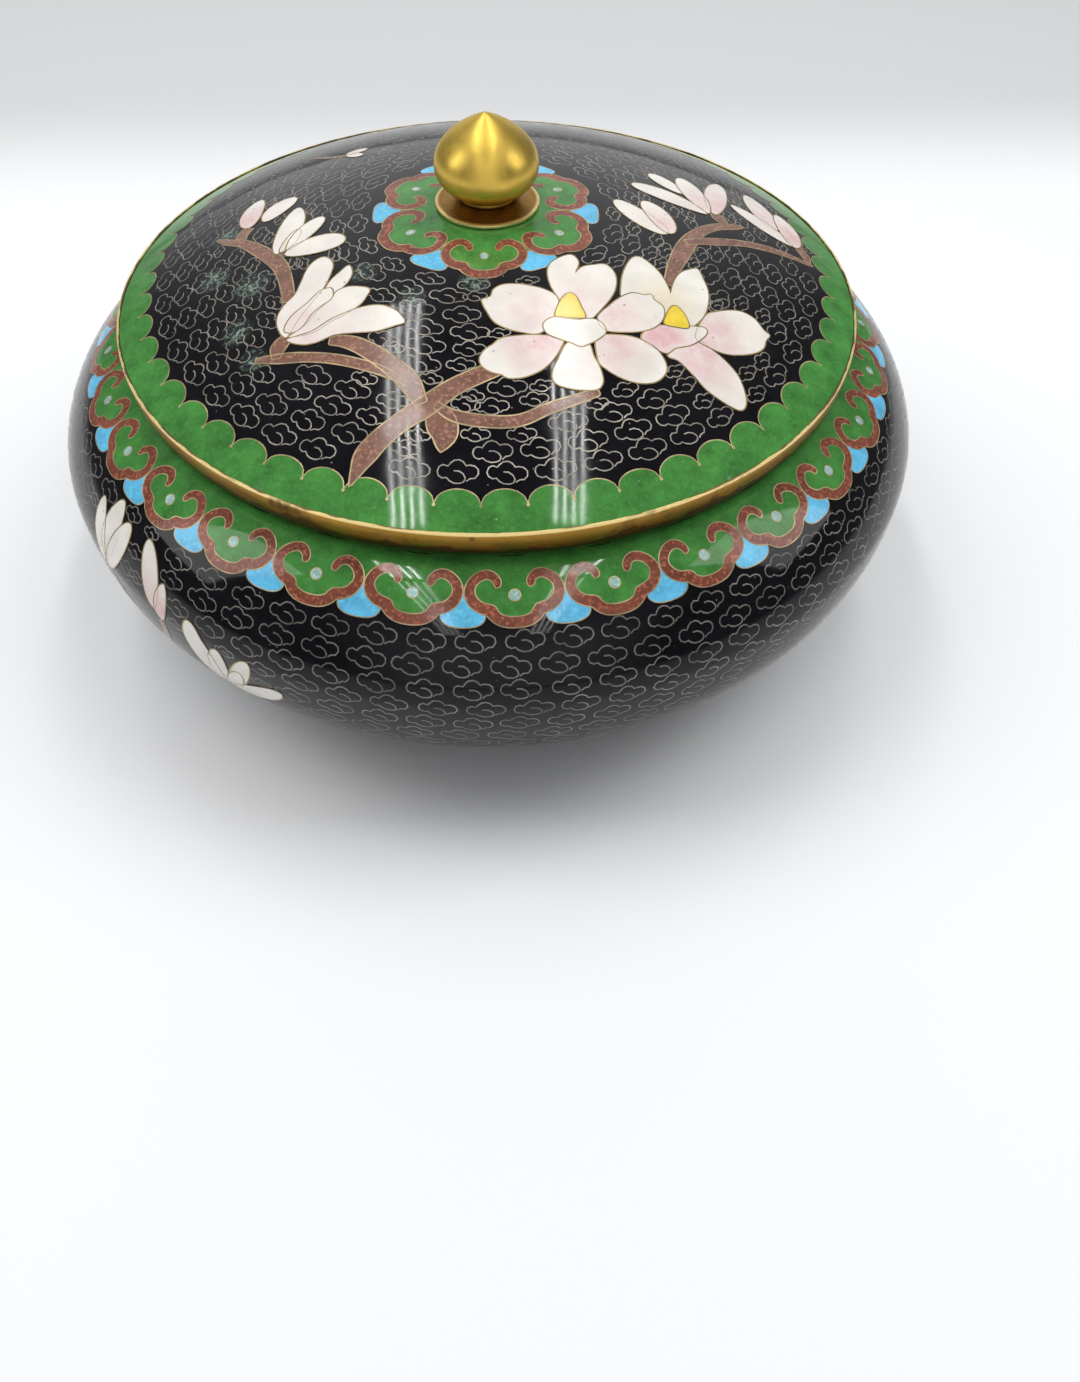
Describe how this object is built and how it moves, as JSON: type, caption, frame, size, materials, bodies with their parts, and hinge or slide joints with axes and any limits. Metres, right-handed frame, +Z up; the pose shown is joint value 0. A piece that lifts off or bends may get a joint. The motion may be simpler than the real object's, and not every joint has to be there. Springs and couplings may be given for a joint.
{
  "type": "cloisonne lidded bowl",
  "caption": "Squat round enamelled copper bowl on a brass foot ring, with a domed lift-off lid, brass rim band and a pointed brass ball knob.",
  "frame": {"origin": "on the floor at the centre of the foot ring's underside", "axes": "+Z up along the turning axis; the decorated front faces -Y, +X to the right seen from the front"},
  "size_m": [0.2038, 0.2038, 0.1106],
  "materials": {
    "black_enamel": "glossy vitreous enamel, near black",
    "gilt_brass": "turned and rubbed gilt brass, satin with bright edges",
    "green_enamel": "glossy leaf green enamel",
    "brown_enamel": "glossy reddish brown enamel",
    "blue_enamel": "glossy sky blue enamel",
    "white_enamel": "glossy cream white enamel, shaded pink",
    "turquoise_enamel": "plain glossy turquoise enamel of the inside",
    "copper_wire": "fine flat wire ground flush with the enamel, pinkish gilt"
  },
  "bodies": {
    "root": {"bowl_body": "black_enamel", "foot_ring": "gilt_brass", "mouth_ring": "gilt_brass", "lid_shell": "black_enamel", "lid_rim": "gilt_brass", "knob_collar": "gilt_brass", "knob": "gilt_brass"}
  },
  "joints": []
}
